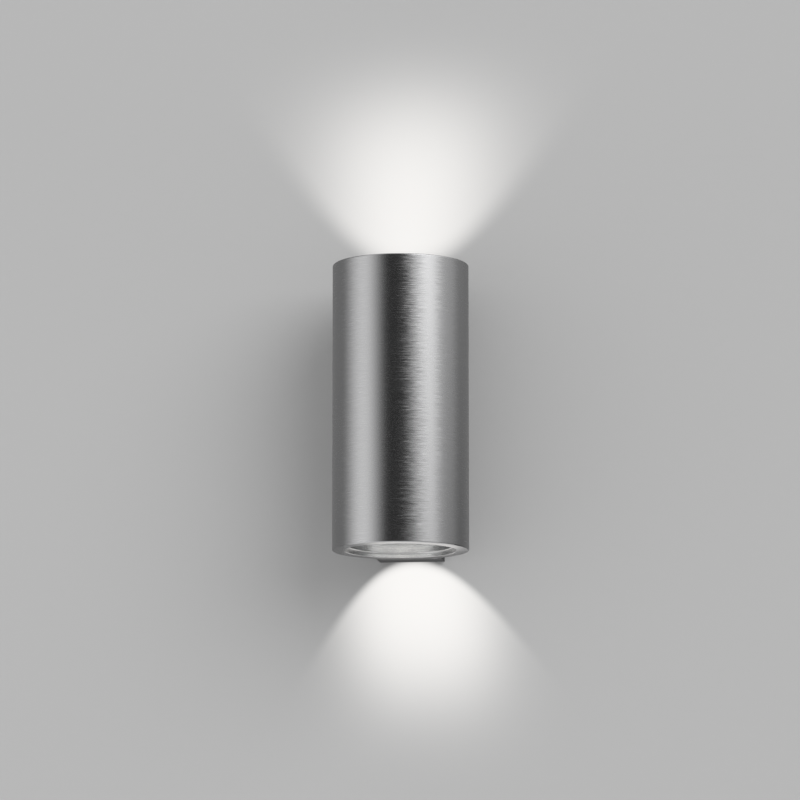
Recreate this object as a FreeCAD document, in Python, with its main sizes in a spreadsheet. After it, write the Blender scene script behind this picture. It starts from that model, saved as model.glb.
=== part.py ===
import FreeCAD, Part
import math
import os

import Sketcher

# A tube wall light: a short thick-walled aluminium tube, open at both ends, that stands off the wall
# on a narrow box. Each end holds an LED behind a lens; the driver sits between the two heat sinks.
#
# Frame, in millimetres: +Z up along the tube, y = 0 is the wall, the lamp stands on the -Y side and
# x = 0 is its middle. The origin is the middle of the wall plate's back.

V = FreeCAD.Vector

# ------------------------------------------------------------------------------------- the sheet
# Every size that can be set by itself: its name and its value.
SIZES = {
    # the tube
    "tube_diameter": 70,
    "tube_length": 148,
    "tube_wall": 8,               # in the middle, behind the shoulders
    "rim_width": 6.5,             # wall at the two mouths
    "rim_chamfer": 0.8,
    "mouth_edge": 0.3,
    "wall_gap": 15,               # between the tube's back and the wall
    # what closes each mouth, in the order in which it lies behind the rim
    "ring_recess": 2.1,
    "ring_height": 6,
    "ring_width": 2,
    "ring_edge": 0.3,
    "slot_width": 2,
    "slot_depth": 1.2,
    "thread_gap": 0.1,
    "lens_thickness": 3,
    "lens_gap": 0.3,
    "gasket_thickness": 1.5,
    "gasket_width": 4,
    "reflector_height": 16,
    "reflector_throat": 8,
    "reflector_sheet": 0.8,
    "holder_height": 4,
    "holder_diameter": 40,
    "holder_mouth": 15,
    "led_board_side": 19,
    "led_board_thickness": 1,
    "led_chip_diameter": 11,
    "led_chip_thickness": 0.5,
    "pad_thickness": 0.3,
    "sink_base": 6,
    "fin_height": 10,
    "fin_thickness": 1.6,
    "fin_pitch": 6.4,
    "fin_count": 7,
    # the driver between the heat sinks
    "driver_gap": 1.4,
    "driver_shell": 1.8,
    "board_thickness": 1.6,
    "board_side_gap": 3,          # from the board's sides to the housing's wall
    "ledge_width": 2,
    "transformer_width": 19,
    "transformer_depth": 14,
    "capacitor_diameter": 10,
    "capacitor_length": 15,
    "driver_block_depth": 8,
    "driver_block_width": 12,
    "driver_block_height": 7,
    "component_gap": 8,           # between transformer and capacitors
    # the stand-off box
    "box_width": 34,
    "box_wall": 2.5,
    "box_inset": 0.5,             # its ends, short of the tube's rims
    "cap_thickness": 2,
    "seal_thickness": 1,
    # the wall plate
    "plate_thickness": 2,
    "plate_height": 92,
    "plate_side_gap": 0.7,
    "tab_thickness": 1.5,
    "tab_height": 14,
    "tab_depth": 8,
    "slot_spacing": 60,
    "wall_slot_width": 5,
    "wall_slot_length": 9,
    "cable_hole": 14,
    "cable_drop": 14,             # its centre below the middle of the plate
    "cable_bore": 8,
    # wires and what holds them
    "block_width": 23,
    "block_depth": 9.5,
    "block_clearance": 0.7,       # from the terminal block's ends to the screw heads
    "pole_pitch": 8,
    "wire_hole": 2.8,
    "lead_diameter": 2.2,
    "lead_bend": 5,               # the largest bend radius that the box leaves room for
    "led_lead_diameter": 1.6,
    "lead_pitch": 3.2,
    "led_lead_pitch": 6.4,
    "led_lead_inset": 6,          # from the LED holder's rim
    "entry_clearance": 1.35,      # from the tube grommet to the lower driver screw's head
    "entry_hole": 10.4,
    "entry_bore": 8,
    "grommet_flange": 1.2,
    "earth_drop": 16,             # of the earth screw, below the leads' way into the tube
    # screws
    "m4_diameter": 4,
    "m4_head": 7.5,
    "m4_head_height": 2.6,
    "m3_diameter": 3,
    "m3_head": 5.5,
    "m3_head_height": 2,
    "cap_screw_diameter": 2,
    "cap_screw_head": 3.6,
    "cap_screw_head_height": 1,
    "cap_screw_length": 6,
    "cap_port_inset": 3.6,        # from the box's side
    "wire_screw_diameter": 3,
    "box_screw_inset": 10,        # from the tube's rim
    "box_screw_grip": 6.5,
    "sink_screw_grip": 8,
    "driver_screw_inset": 5.5,    # from the driver's ends
    "driver_screw_grip": 4,
    "holder_screw_offset": 16.2,
    "holder_screw_grip": 5,
    "lock_screw_rise": 38,
    "lock_screw_reach": 7,        # from the wall
    "screw_gap": 0.05,            # between a screw and its thread
    "hole_gap": 0.25,             # between a screw and a plain hole
    # how parts stand to each other
    "press_gap": 0.05,            # parts that are pushed together
    "seat_gap": 0.1,              # curved faces that meet
    "slip_gap": 0.2,              # parts that slide into the tube
}

doc = FreeCAD.newDocument("tube_wall_light")
sheet = doc.addObject("Spreadsheet::Sheet", "sizes")
for line, (name, number) in enumerate(SIZES.items(), start=1):
    sheet.set(f"A{line}", name.replace("_", " "))
    sheet.set(f"B{line}", str(number))
    sheet.setAlias(f"B{line}", name)
doc.recompute()


class Size:
    """A number that knows the sheet formula it comes from."""

    def __init__(self, number, formula):
        self.number = number
        self.formula = formula

    def __add__(self, other):
        other = as_size(other)
        return Size(self.number + other.number, f"({self.formula} + {other.formula})")

    def __sub__(self, other):
        other = as_size(other)
        return Size(self.number - other.number, f"({self.formula} - {other.formula})")

    def __rsub__(self, other):
        return as_size(other) - self

    def __mul__(self, other):
        other = as_size(other)
        return Size(self.number * other.number, f"({self.formula} * {other.formula})")

    def __truediv__(self, other):
        other = as_size(other)
        return Size(self.number / other.number, f"({self.formula} / {other.formula})")

    def __neg__(self):
        return Size(-self.number, f"(0 - {self.formula})")

    __radd__ = __add__
    __rmul__ = __mul__


def as_size(value):
    return value if isinstance(value, Size) else Size(value, repr(value))


def other_side(hypotenuse, side):
    """The third side of a right triangle, as where a round meets a flat."""
    square = hypotenuse * hypotenuse - side * side
    return Size(math.sqrt(square.number), f"sqrt({square.formula})")


class Sheet:
    """Reads the sheet's cells by name."""

    def __getattr__(self, alias):
        return Size(float(sheet.get(alias)), f"sizes.{alias}")


S = Sheet()

# --------------------------------------------------------------------------- places worked out
TUBE_R = S.tube_diameter / 2
HALF = S.tube_length / 2
MOUTH_R = TUBE_R - S.rim_width
BORE_R = TUBE_R - S.tube_wall
AXIS_Y = -(TUBE_R + S.wall_gap)

# depths behind the rim
RING_FRONT = S.ring_recess
LENS_FRONT = RING_FRONT + S.ring_height
GASKET_FRONT = LENS_FRONT + S.lens_thickness
SHOULDER = GASKET_FRONT + S.gasket_thickness
HOLDER_FRONT = SHOULDER + S.reflector_height
SINK_FRONT = HOLDER_FRONT + S.holder_height
SINK_MIDDLE = SINK_FRONT + S.sink_base / 2
FIN_ROOT = SINK_FRONT + S.sink_base
FIN_TIP = FIN_ROOT + S.fin_height
SINK_R = BORE_R - S.slip_gap
LED_LEAD_Y = S.holder_diameter / 2 - S.led_lead_inset

DRIVER_HALF = HALF - FIN_TIP - S.driver_gap
DRIVER_R = BORE_R - S.slip_gap
DRIVER_INNER_R = DRIVER_R - S.driver_shell
BOARD_X = DRIVER_INNER_R - S.board_side_gap
BOARD_HALF = DRIVER_HALF - S.driver_shell - S.slip_gap

BOX_HALF = HALF - S.box_inset
CHANNEL_HALF = BOX_HALF - S.cap_thickness
BOX_X = S.box_width / 2
BOX_INNER_X = BOX_X - S.box_wall
SADDLE_R = TUBE_R + S.seat_gap
BOX_FRONT_Y = AXIS_Y + other_side(TUBE_R, BOX_X)
WEB_Y = -(S.wall_gap - S.box_wall)
SEAL_Y = -S.seal_thickness

PLATE_X = BOX_INNER_X - S.plate_side_gap
PLATE_FRONT_Y = -S.plate_thickness

BOX_SCREW_Z = HALF - S.box_screw_inset
SINK_SCREW_Z = HALF - SINK_MIDDLE
DRIVER_SCREW_Z = DRIVER_HALF - S.driver_screw_inset
GROMMET_R = S.entry_hole / 2 + S.grommet_flange
ENTRY_Z = GROMMET_R + S.entry_clearance + S.m3_head / 2 - DRIVER_SCREW_Z


# ------------------------------------------------------------------------------ drawing helpers
def bind(thing, prop, value):
    """Ties a property to the sheet, or sets it if the value is a bare number."""
    if isinstance(value, Size):
        thing.setExpression(prop, value.formula)
    else:
        setattr(thing, prop, value)


def new_body(label, x=0, y=0, z=0):
    body = doc.addObject("PartDesign::Body", label)
    body.Label = label
    for letter, value in (("x", x), ("y", y), ("z", z)):
        if isinstance(value, Size):
            body.setExpression(f"Placement.Base.{letter}", value.formula)
    return body


def end_body(label, end):
    """A body at one mouth: local z = 0 is the rim, and the tube lies on the -z side."""
    body = new_body(label, y=AXIS_Y, z=HALF if end == "upper" else -HALF)
    if end == "lower":
        body.Placement.Rotation = FreeCAD.Rotation(V(0, 1, 0), 180)
    return body


def new_sketch(body, role, offset=None):
    sketch = body.newObject("Sketcher::SketchObject", f"{body.Name}_sketch")
    base = next(feature for feature in body.Origin.OriginFeatures if feature.Role == role)
    sketch.AttachmentSupport = [(base, "")]
    sketch.MapMode = "FlatFace"
    if offset is not None:
        sketch.setExpression("AttachmentOffset.Base.z", offset.formula)
    return sketch


def hold_point(sketch, shape, spot, place):
    """Fixes one point of a sketch at x, y."""
    kinds = (("DistanceX", -2, place[0]), ("DistanceY", -1, place[1]))
    for kind, axis, value in kinds:
        value = as_size(value)
        if value.formula == "0":
            sketch.addConstraint(Sketcher.Constraint("PointOnObject", shape, spot, axis))
            continue
        rule = Sketcher.Constraint(kind, -1, 1, shape, spot, value.number)
        index = sketch.addConstraint(rule)
        sketch.setExpression(f"Constraints[{index}]", value.formula)


def point(place):
    return V(as_size(place[0]).number, as_size(place[1]).number, 0)


def draw_outline(sketch, corners):
    """A closed outline of straight lines."""
    first = sketch.GeometryCount
    count = len(corners)
    for i in range(count):
        sketch.addGeometry(Part.LineSegment(point(corners[i]), point(corners[(i + 1) % count])), False)
    for i in range(count):
        following = first + (i + 1) % count
        sketch.addConstraint(Sketcher.Constraint("Coincident", first + i, 2, following, 1))
        hold_point(sketch, first + i, 1, corners[i])


def draw_box(sketch, x0, x1, y0, y1):
    draw_outline(sketch, [(x0, y0), (x1, y0), (x1, y1), (x0, y1)])


def hold_radius(sketch, shape, radius):
    index = sketch.addConstraint(Sketcher.Constraint("Radius", shape, radius.number))
    sketch.setExpression(f"Constraints[{index}]", radius.formula)


def draw_circle(sketch, x, y, radius):
    shape = sketch.addGeometry(Part.Circle(point((x, y)), V(0, 0, 1), radius.number), False)
    hold_point(sketch, shape, 3, (x, y))
    hold_radius(sketch, shape, radius)


def draw_slot(sketch, x, y, half_width, half_run):
    """An upright slot: two half rounds whose centres stand half_run from the middle."""
    half_round = math.pi
    middle = as_size(x)
    shapes = []
    for way, start in ((1, 0), (-1, half_round)):
        centre = (x, y + half_run * way)
        circle = Part.Circle(point(centre), V(0, 0, 1), half_width.number)
        arc = sketch.addGeometry(Part.ArcOfCircle(circle, start, start + half_round), False)
        hold_point(sketch, arc, 3, centre)
        hold_radius(sketch, arc, half_width)
        for spot in (1, 2):
            sketch.addConstraint(Sketcher.Constraint("Horizontal", arc, spot, arc, 3))
        shapes.append(arc)
    upper, lower = shapes
    for side, top_end, low_end in ((1, 1, 2), (-1, 2, 1)):
        edge_x = middle + half_width * side
        ends = (point((edge_x, y + half_run)), point((edge_x, y - half_run)))
        edge = sketch.addGeometry(Part.LineSegment(*ends), False)
        sketch.addConstraint(Sketcher.Constraint("Coincident", edge, 1, upper, top_end))
        sketch.addConstraint(Sketcher.Constraint("Coincident", edge, 2, lower, low_end))


def draw_hexagon(sketch, x, y, half_flats):
    """A key socket, drawn by its six corners."""
    reach = half_flats * (2 / math.sqrt(3))
    turns = [math.radians(60 * i) for i in range(6)]
    corners = [(x + reach * round(math.cos(turn), 9), y + reach * round(math.sin(turn), 9)) for turn in turns]
    draw_outline(sketch, corners)


def grow(body, sketch, length, backwards=False):
    pad = body.newObject("PartDesign::Pad", f"{body.Name}_pad")
    pad.Profile = sketch
    bind(pad, "Length", length)
    pad.Reversed = backwards
    sketch.Visibility = False
    return pad


def cut(body, sketch, length=None, backwards=False):
    """Pockets against the sketch's own normal, or along it if backwards; right through with no length."""
    pocket = body.newObject("PartDesign::Pocket", f"{body.Name}_pocket")
    pocket.Profile = sketch
    if length is None:
        pocket.Type = "ThroughAll"
    else:
        bind(pocket, "Length", length)
    pocket.Reversed = backwards
    return pocket


def turn(body, corners):
    """Turns a profile of (radius, height) corners about the body's z axis."""
    sketch = new_sketch(body, "XZ_Plane")
    draw_outline(sketch, corners)
    turned = body.newObject("PartDesign::Revolution", f"{body.Name}_turned")
    turned.Profile = sketch
    turned.ReferenceAxis = (sketch, ["V_Axis"])
    turned.Angle = 360
    return turned


def disc(body, radius, front, back):
    """A plain disc behind the rim, from depth front to depth back."""
    sketch = new_sketch(body, "XY_Plane", -back)
    draw_circle(sketch, 0, 0, radius)
    return grow(body, sketch, back - front)


def screws(label, role, spots, seat, size, grip, away=True):
    """A group of like screws. Their heads' undersides lie at offset seat along the plane's normal.

    away says that the shanks run against the normal and the heads stand along it.
    size is (shank radius, head radius, head height).
    """
    shank_radius, head_radius, head_height = size
    body = new_body(label)
    shanks = new_sketch(body, role, seat)
    heads = new_sketch(body, role, seat)
    top = seat + head_height if away else seat - head_height
    sockets = new_sketch(body, role, top)
    for x, y in spots:
        draw_circle(shanks, x, y, shank_radius)
        draw_circle(heads, x, y, head_radius)
        draw_hexagon(sockets, x, y, shank_radius * 0.6)
    grow(body, shanks, grip, backwards=away)
    grow(body, heads, head_height, backwards=not away)
    cut(body, sockets, head_height * 0.6, backwards=not away)
    return body


M4 = (S.m4_diameter / 2, S.m4_head / 2, S.m4_head_height)
M3 = (S.m3_diameter / 2, S.m3_head / 2, S.m3_head_height)


# -------------------------------------------------------------------------- what is on the wall
def wall_plate():
    """Folded steel plate: two slots for the wall screws, a cable hole and four side tabs."""
    body = new_body("wall_plate")
    half_height = S.plate_height / 2
    blank = new_sketch(body, "XZ_Plane")
    draw_box(blank, -PLATE_X, PLATE_X, -half_height, half_height)
    grow(body, blank, S.plate_thickness)
    tabs = new_sketch(body, "XZ_Plane", S.plate_thickness)
    for side in (-1, 1):
        for way in (-1, 1):
            outer = PLATE_X * side
            inner = (PLATE_X - S.tab_thickness) * side
            middle = S.lock_screw_rise * way
            draw_box(tabs, outer, inner, middle - S.tab_height / 2, middle + S.tab_height / 2)
    grow(body, tabs, S.tab_depth)
    slots = new_sketch(body, "XZ_Plane", S.plate_thickness)
    half_run = (S.wall_slot_length - S.wall_slot_width) / 2
    for way in (-1, 1):
        draw_slot(slots, 0, S.slot_spacing / 2 * way, S.wall_slot_width / 2, half_run)
    cut(body, slots, S.plate_thickness)
    cable = new_sketch(body, "XZ_Plane", S.plate_thickness)
    draw_circle(cable, 0, -S.cable_drop, S.cable_hole / 2)
    cut(body, cable, S.plate_thickness)
    return body


def plate_grommet():
    """Rubber ring in the plate's cable hole, flush with the wall."""
    body = new_body("plate_grommet", y=PLATE_FRONT_Y, z=-S.cable_drop)
    neck = new_sketch(body, "XZ_Plane")
    draw_circle(neck, 0, 0, S.cable_hole / 2 - S.press_gap)
    grow(body, neck, S.plate_thickness, backwards=True)
    flange = new_sketch(body, "XZ_Plane")
    draw_circle(flange, 0, 0, S.cable_hole / 2 + S.grommet_flange)
    grow(body, flange, S.grommet_flange)
    bore = new_sketch(body, "XZ_Plane", S.grommet_flange)
    draw_circle(bore, 0, 0, S.cable_bore / 2)
    cut(body, bore)
    return body


# -------------------------------------------------------------------------------- the tube
def tube_housing():
    """Thick tube, turned wider at both mouths, which leaves a shoulder behind each."""
    body = new_body("tube_housing", y=AXIS_Y)
    half_profile = [
        (BORE_R, HALF - SHOULDER),
        (MOUTH_R, HALF - SHOULDER),
        (MOUTH_R, HALF - S.mouth_edge),
        (MOUTH_R + S.mouth_edge, HALF),
        (TUBE_R - S.rim_chamfer, HALF),
        (TUBE_R, HALF - S.rim_chamfer),
    ]
    mirrored = [(radius, -height) for radius, height in reversed(half_profile)]
    turn(body, half_profile + mirrored)
    threads = new_sketch(body, "XZ_Plane")
    plain = new_sketch(body, "XZ_Plane")
    for way in (-1, 1):
        draw_circle(threads, 0, BOX_SCREW_Z * way, M4[0] + S.screw_gap)
        draw_circle(plain, 0, SINK_SCREW_Z * way, M4[0] + S.hole_gap)
        draw_circle(plain, 0, DRIVER_SCREW_Z * way, M3[0] + S.hole_gap)
    draw_circle(plain, 0, ENTRY_Z, S.entry_hole / 2)
    cut(body, threads)
    cut(body, plain)
    return body


def tube_grommet():
    """Rubber bush that lines the leads' way from the box into the tube."""
    body = new_body("tube_grommet", y=WEB_Y, z=ENTRY_Z)
    neck = new_sketch(body, "XZ_Plane")
    draw_circle(neck, 0, 0, S.entry_hole / 2 - S.press_gap)
    grow(body, neck, S.box_wall + S.tube_wall)
    flange = new_sketch(body, "XZ_Plane")
    draw_circle(flange, 0, 0, GROMMET_R)
    grow(body, flange, S.grommet_flange, backwards=True)
    bore = new_sketch(body, "XZ_Plane", -S.grommet_flange)
    draw_circle(bore, 0, 0, S.entry_bore / 2)
    cut(body, bore, backwards=True)
    return body


# ------------------------------------------------------------------------------ the stand-off box
def box_section(sketch):
    draw_box(sketch, -BOX_X, BOX_X, BOX_FRONT_Y, SEAL_Y)


def cut_saddle(body, start):
    """Hollows the front of a box piece to the tube's round."""
    saddle = new_sketch(body, "XY_Plane", start)
    draw_circle(saddle, 0, AXIS_Y, SADDLE_R)
    cut(body, saddle)


def port_places():
    """Where the end cap screws stand, in the thick corners between web and saddle."""
    port_x = BOX_X - S.cap_port_inset
    round_y = AXIS_Y + other_side(TUBE_R, port_x)
    port_y = (round_y + WEB_Y) / 2
    return [(port_x, port_y), (-port_x, port_y)]


def box_channel():
    """Extruded channel, open to the wall, whose front seats on the tube."""
    body = new_body("box_channel")
    outer = new_sketch(body, "XY_Plane", -CHANNEL_HALF)
    box_section(outer)
    grow(body, outer, CHANNEL_HALF * 2)
    inner = new_sketch(body, "XY_Plane", CHANNEL_HALF)
    draw_box(inner, -BOX_INNER_X, BOX_INNER_X, WEB_Y, 0)
    cut(body, inner)
    cut_saddle(body, CHANNEL_HALF)
    holes = new_sketch(body, "XZ_Plane")
    for way in (-1, 1):
        draw_circle(holes, 0, BOX_SCREW_Z * way, M4[0] + S.hole_gap)
        draw_circle(holes, 0, SINK_SCREW_Z * way, M4[0] + S.hole_gap)
        draw_circle(holes, 0, DRIVER_SCREW_Z * way, M3[0] + S.hole_gap)
        draw_circle(holes, S.pole_pitch / 2 * way, BLOCK_Z, M3[0] + S.screw_gap)
    draw_circle(holes, 0, ENTRY_Z, S.entry_hole / 2)
    draw_circle(holes, EARTH_X, EARTH_Z, M4[0] + S.screw_gap)
    cut(body, holes, backwards=True)
    locks = new_sketch(body, "YZ_Plane")
    draw_circle(locks, -S.lock_screw_reach, -S.lock_screw_rise, M4[0] + S.screw_gap)
    cut(body, locks)
    cut(body, locks, backwards=True)
    for way in (-1, 1):
        ports = new_sketch(body, "XY_Plane", CHANNEL_HALF * way)
        for x, y in port_places():
            draw_circle(ports, x, y, S.cap_screw_diameter / 2 + S.screw_gap)
        cut(body, ports, S.cap_screw_length, backwards=way < 0)
    return body


def box_cap(end):
    """Flat plate that closes one end of the channel."""
    body = new_body("box_top_cap" if end == "upper" else "box_bottom_cap")
    low = CHANNEL_HALF if end == "upper" else -BOX_HALF
    blank = new_sketch(body, "XY_Plane", low)
    box_section(blank)
    grow(body, blank, S.cap_thickness)
    cut_saddle(body, low + S.cap_thickness)
    wells = new_sketch(body, "XY_Plane", BOX_HALF if end == "upper" else -BOX_HALF)
    holes = new_sketch(body, "XY_Plane", low + S.cap_thickness)
    for x, y in port_places():
        draw_circle(wells, x, y, S.cap_screw_head / 2 + S.press_gap)
        draw_circle(holes, x, y, S.cap_screw_diameter / 2 + S.screw_gap)
    cut(body, wells, S.cap_screw_head_height, backwards=end == "lower")
    cut(body, holes)
    return body


def cap_screws(end):
    """Two small screws, flush in each end cap."""
    way = 1 if end == "upper" else -1
    seat = (BOX_HALF - S.cap_screw_head_height) * way
    size = (S.cap_screw_diameter / 2, S.cap_screw_head / 2, S.cap_screw_head_height)
    label = f"{'top' if end == 'upper' else 'bottom'}_cap_screws"
    return screws(label, "XY_Plane", port_places(), seat, size, S.cap_screw_length, away=end == "upper")


def wall_seal():
    """Foam frame between the box's rim and the wall."""
    body = new_body("wall_seal")
    frame = new_sketch(body, "XZ_Plane")
    draw_box(frame, -BOX_X, BOX_X, -BOX_HALF, BOX_HALF)
    draw_box(frame, -BOX_INNER_X, BOX_INNER_X, -CHANNEL_HALF, CHANNEL_HALF)
    grow(body, frame, S.seal_thickness)
    return body


def lock_screw(side):
    """Headless screw in the box's side: its tip bears on a tab of the wall plate."""
    body = new_body(f"{side}_lock_screw", y=-S.lock_screw_reach, z=-S.lock_screw_rise)
    start = PLATE_X + S.press_gap
    end = BOX_X - S.mouth_edge
    facing = side == "right"
    shank = new_sketch(body, "YZ_Plane", start if facing else -start)
    draw_circle(shank, 0, 0, M4[0])
    grow(body, shank, end - start, backwards=not facing)
    socket = new_sketch(body, "YZ_Plane", end if facing else -end)
    draw_hexagon(socket, 0, 0, M4[0] / 2)
    cut(body, socket, (end - start) / 2, backwards=not facing)
    return body


# ------------------------------------------------------------------------ what closes each mouth
def retaining_ring(end):
    """Threaded ring with two key slots, set back from the rim."""
    body = end_body(f"{end}_retaining_ring", end)
    outer = MOUTH_R - S.thread_gap
    inner = outer - S.ring_width
    turn(body, [
        (inner, -LENS_FRONT),
        (outer, -LENS_FRONT),
        (outer, -RING_FRONT),
        (inner + S.ring_edge, -RING_FRONT),
        (inner, -(RING_FRONT + S.ring_edge)),
    ])
    slots = new_sketch(body, "XY_Plane", -RING_FRONT)
    for side in (-1, 1):
        near = (inner - S.slot_width) * side
        far = (outer + S.slot_width) * side
        draw_box(slots, near, far, -S.slot_width / 2, S.slot_width / 2)
    cut(body, slots, S.slot_depth)
    return body


def lens(end):
    body = end_body(f"{end}_lens", end)
    disc(body, MOUTH_R - S.lens_gap, LENS_FRONT, GASKET_FRONT)
    return body


def lens_gasket(end):
    """Flat silicone ring between the lens and the tube's shoulder."""
    body = end_body(f"{end}_lens_gasket", end)
    outer = MOUTH_R - S.lens_gap
    inner = outer - S.gasket_width
    turn(body, [(inner, -SHOULDER), (outer, -SHOULDER), (outer, -GASKET_FRONT), (inner, -GASKET_FRONT)])
    return body


def reflector(end):
    """Spun bowl whose flange lies under the gasket and whose throat stands on the LED holder."""
    body = end_body(f"{end}_reflector", end)
    wide = BORE_R - S.slip_gap
    mouth = wide - S.reflector_sheet * 2
    # the inside is a parabola: its depth grows with the square of the radius
    steps = 5
    inside = []
    for step in range(steps + 1):
        radius = S.reflector_throat + (mouth - S.reflector_throat) * step / steps
        share = (radius * radius - S.reflector_throat * S.reflector_throat) / (
            mouth * mouth - S.reflector_throat * S.reflector_throat)
        inside.append((radius, -HOLDER_FRONT + S.reflector_height * share))
    outside = [(radius + S.reflector_sheet, height) for radius, height in reversed(inside[:-1])]
    flange = [
        (wide, -SHOULDER),
        (wide, -(SHOULDER + S.reflector_sheet)),
        (mouth + S.reflector_sheet, -(SHOULDER + S.reflector_sheet)),
    ]
    turn(body, inside + flange + outside)
    return body


def led_holder(end):
    """Moulded disc that clamps the LED board to the heat sink."""
    body = end_body(f"{end}_led_holder", end)
    disc(body, S.holder_diameter / 2, HOLDER_FRONT, SINK_FRONT)
    mouth = new_sketch(body, "XY_Plane", -HOLDER_FRONT)
    draw_circle(mouth, 0, 0, S.holder_mouth / 2)
    cut(body, mouth)
    seat = new_sketch(body, "XY_Plane", -SINK_FRONT)
    half_board = S.led_board_side / 2 + S.slip_gap
    draw_box(seat, -half_board, half_board, -half_board, half_board)
    cut(body, seat, S.led_board_thickness + S.pad_thickness + S.press_gap, backwards=True)
    holes = new_sketch(body, "XY_Plane", -HOLDER_FRONT)
    for side in (-1, 1):
        draw_circle(holes, S.holder_screw_offset * side, 0, M3[0] + S.hole_gap)
    cut(body, holes)
    contacts = new_sketch(body, "XY_Plane", -SINK_FRONT)
    for side in (-1, 1):
        draw_circle(contacts, S.led_lead_pitch / 2 * side, LED_LEAD_Y,
                    S.led_lead_diameter / 2 + S.hole_gap)
    cut(body, contacts, S.holder_height / 2, backwards=True)
    return body


def holder_screws(end):
    """Two screws through each LED holder into the heat sink."""
    body = end_body(f"{end}_holder_screws", end)
    shanks = new_sketch(body, "XY_Plane", -HOLDER_FRONT)
    heads = new_sketch(body, "XY_Plane", -HOLDER_FRONT)
    sockets = new_sketch(body, "XY_Plane", M3[2] - HOLDER_FRONT)
    for side in (-1, 1):
        draw_circle(shanks, S.holder_screw_offset * side, 0, M3[0])
        draw_circle(heads, S.holder_screw_offset * side, 0, M3[1])
        draw_hexagon(sockets, S.holder_screw_offset * side, 0, M3[0] * 0.6)
    grow(body, shanks, S.holder_height + S.holder_screw_grip, backwards=True)
    grow(body, heads, M3[2])
    cut(body, sockets, M3[2] * 0.6)
    return body


def thermal_pad(end):
    body = end_body(f"{end}_thermal_pad", end)
    pad = new_sketch(body, "XY_Plane", -SINK_FRONT)
    half_board = S.led_board_side / 2
    draw_box(pad, -half_board, half_board, -half_board, half_board)
    grow(body, pad, S.pad_thickness)
    return body


def led_board(end):
    body = end_body(f"{end}_led_board", end)
    board = new_sketch(body, "XY_Plane", S.pad_thickness - SINK_FRONT)
    half_board = S.led_board_side / 2
    draw_box(board, -half_board, half_board, -half_board, half_board)
    grow(body, board, S.led_board_thickness)
    return body


def led_chip(end):
    body = end_body(f"{end}_led_chip", end)
    back = SINK_FRONT - S.pad_thickness - S.led_board_thickness
    disc(body, S.led_chip_diameter / 2, back - S.led_chip_thickness, back)
    return body


def heat_sink(end):
    """Turned blank with slots milled across its back, which leaves straight fins."""
    body = end_body(f"{end}_heat_sink", end)
    disc(body, SINK_R, SINK_FRONT, FIN_TIP)
    milled = new_sketch(body, "XY_Plane", -FIN_TIP)
    count = int(S.fin_count.number)
    for gap in range(count + 1):
        middle = S.fin_pitch * (gap - count / 2)
        half_gap = (S.fin_pitch - S.fin_thickness) / 2
        draw_box(milled, middle - half_gap, middle + half_gap, -SINK_R, SINK_R)
    cut(body, milled, S.fin_height, backwards=True)
    holes = new_sketch(body, "XY_Plane", -SINK_FRONT)
    for side in (-1, 1):
        draw_circle(holes, S.holder_screw_offset * side, 0, M3[0] + S.screw_gap)
    cut(body, holes, S.holder_screw_grip)
    ways = new_sketch(body, "XY_Plane", -SINK_FRONT)
    for side in (-1, 1):
        draw_circle(ways, S.led_lead_pitch / 2 * side, LED_LEAD_Y,
                    S.led_lead_diameter / 2 + S.hole_gap)
    cut(body, ways)
    thread = new_sketch(body, "XZ_Plane", S.sink_screw_grip - SINK_R)
    draw_circle(thread, 0, -SINK_MIDDLE, M4[0] + S.screw_gap)
    cut(body, thread)
    return body


# -------------------------------------------------------------------------------- the driver
def shell_section(sketch, radius, way):
    """Half a disc, closed on its flat side."""
    turn_start = 0 if way > 0 else math.pi
    circle = Part.Circle(V(0, 0, 0), V(0, 0, 1), radius.number)
    arc = sketch.addGeometry(Part.ArcOfCircle(circle, turn_start, turn_start + math.pi), False)
    hold_radius(sketch, arc, radius)
    hold_point(sketch, arc, 3, (0, 0))
    for spot in (1, 2):
        sketch.addConstraint(Sketcher.Constraint("PointOnObject", arc, spot, -1))
    reach = V(radius.number * way, 0, 0)
    flat = sketch.addGeometry(Part.LineSegment(-reach, reach), False)
    sketch.addConstraint(Sketcher.Constraint("Coincident", flat, 1, arc, 2))
    sketch.addConstraint(Sketcher.Constraint("Coincident", flat, 2, arc, 1))


def driver_half(label, way):
    """One half of the round driver housing; two ledges inside carry the board."""
    body = new_body(label, y=AXIS_Y)
    blank = new_sketch(body, "XY_Plane", -DRIVER_HALF)
    shell_section(blank, DRIVER_R, way)
    grow(body, blank, DRIVER_HALF * 2)
    hollow = new_sketch(body, "XY_Plane", DRIVER_HALF - S.driver_shell)
    shell_section(hollow, DRIVER_INNER_R, way)
    cut(body, hollow, (DRIVER_HALF - S.driver_shell) * 2)
    return body


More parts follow.
